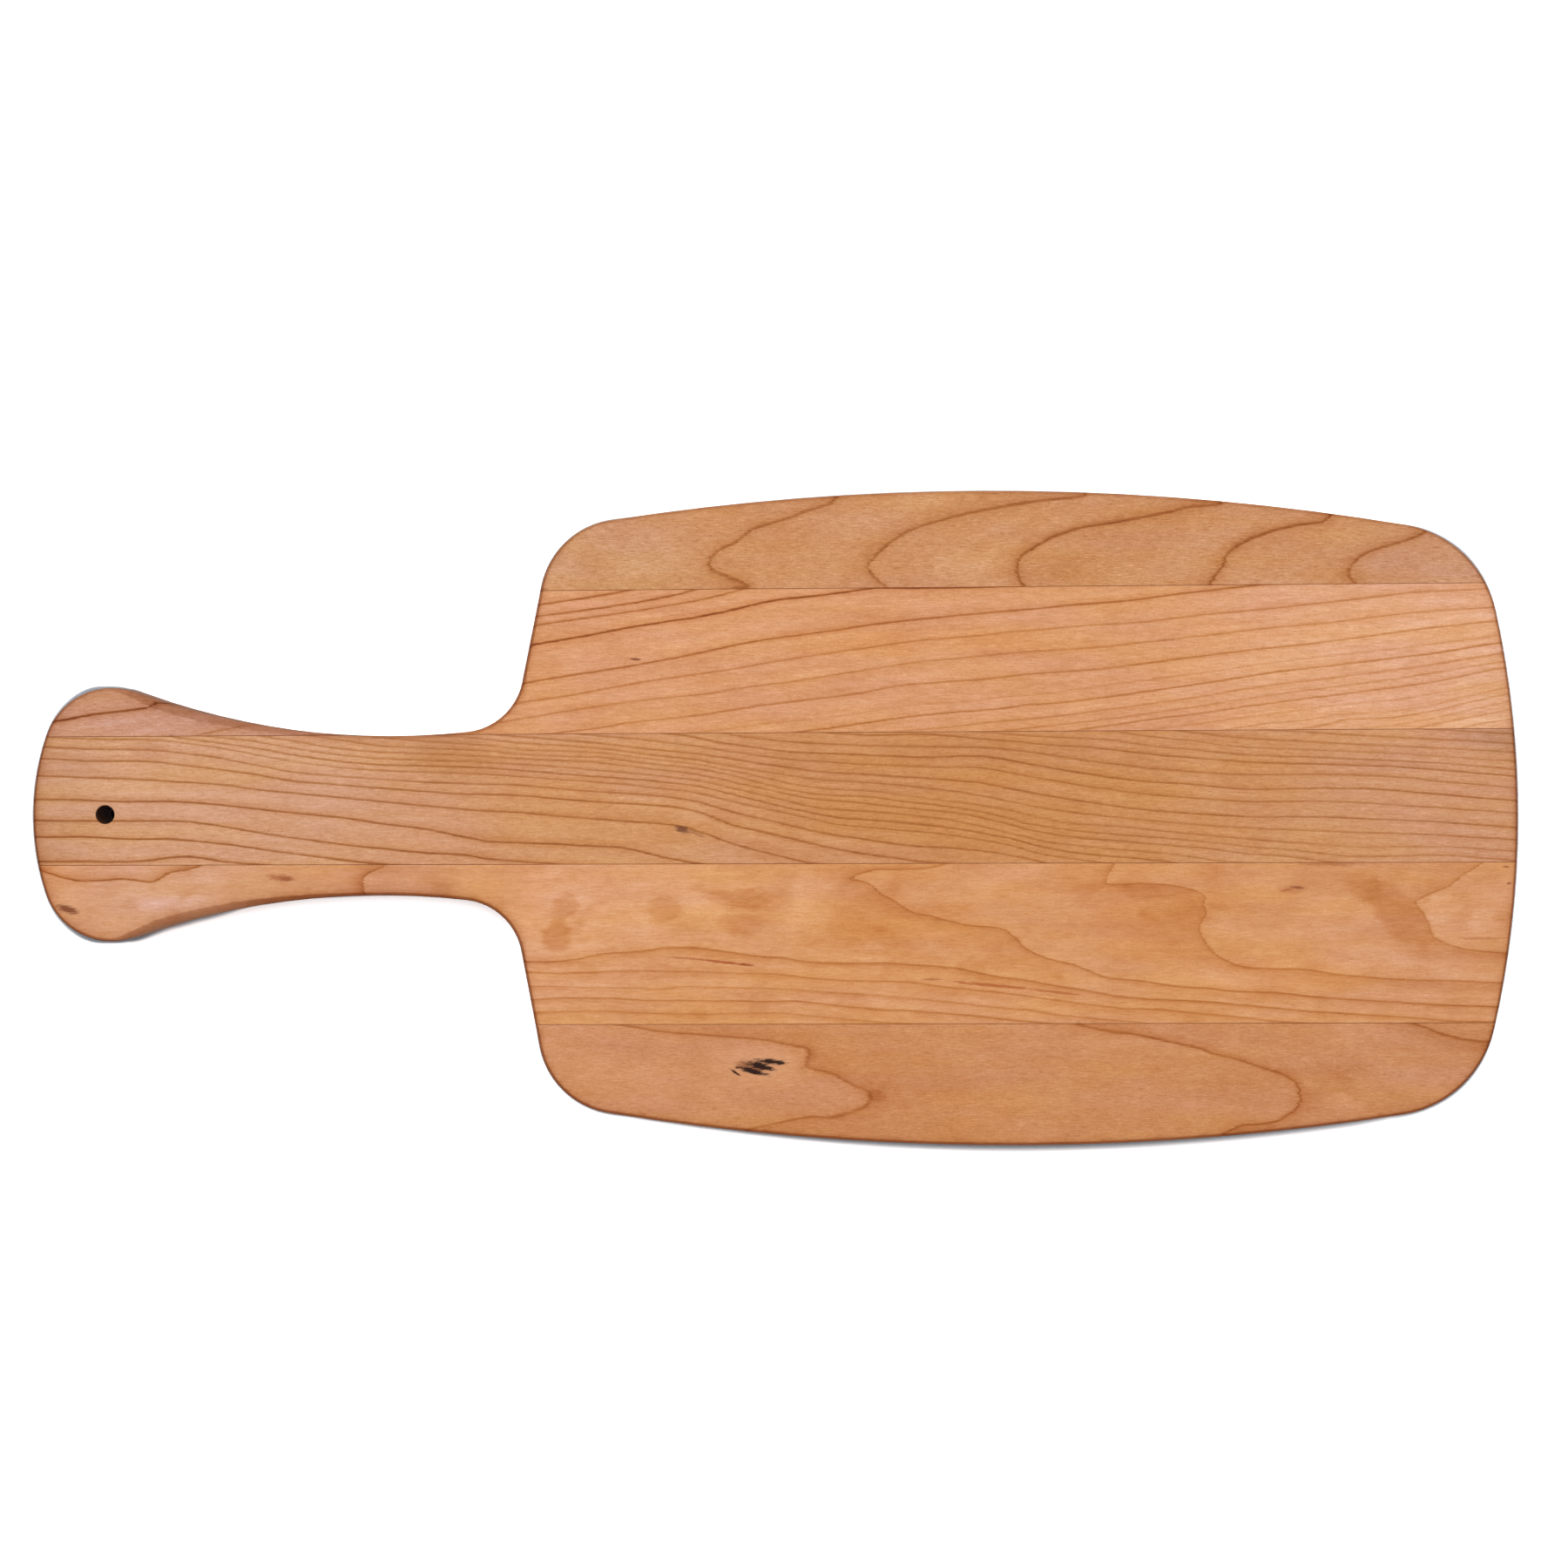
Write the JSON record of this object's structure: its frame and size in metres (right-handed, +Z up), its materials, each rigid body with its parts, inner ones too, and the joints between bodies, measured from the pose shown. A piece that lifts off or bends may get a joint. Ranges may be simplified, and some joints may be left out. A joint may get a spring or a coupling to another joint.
{
  "type": "paddle charcuterie board",
  "caption": "Edge-glued cherry serving board with a broad rounded blade, a waisted handle ending in a flared lobe, and a hanging hole.",
  "frame": {"origin": "centre of the board's bounding box, on the face that it lies on", "axes": "+X along the board from the handle to the blade, +Y across it to the top edge of the pictured view, +Z up through its thickness"},
  "size_m": [0.508, 0.224, 0.019],
  "materials": {
    "cherry_top_edge": "oiled satin",
    "cherry_upper": "oiled satin",
    "cherry_centre": "oiled satin",
    "cherry_lower": "oiled satin",
    "cherry_bottom_edge": "oiled satin",
    "wood_glue": "cured yellow glue, darkened by oil"
  },
  "bodies": {
    "root": {"top_edge_stave": "cherry_top_edge", "upper_blade_stave": "cherry_upper", "upper_lobe_wing": "cherry_upper", "centre_stave": "cherry_centre", "lower_stave": "cherry_lower", "bottom_edge_stave": "cherry_bottom_edge", "top_glue_line": "wood_glue", "upper_glue_line": "wood_glue", "lobe_glue_line": "wood_glue", "lower_glue_line": "wood_glue", "bottom_glue_line": "wood_glue"}
  },
  "joints": []
}
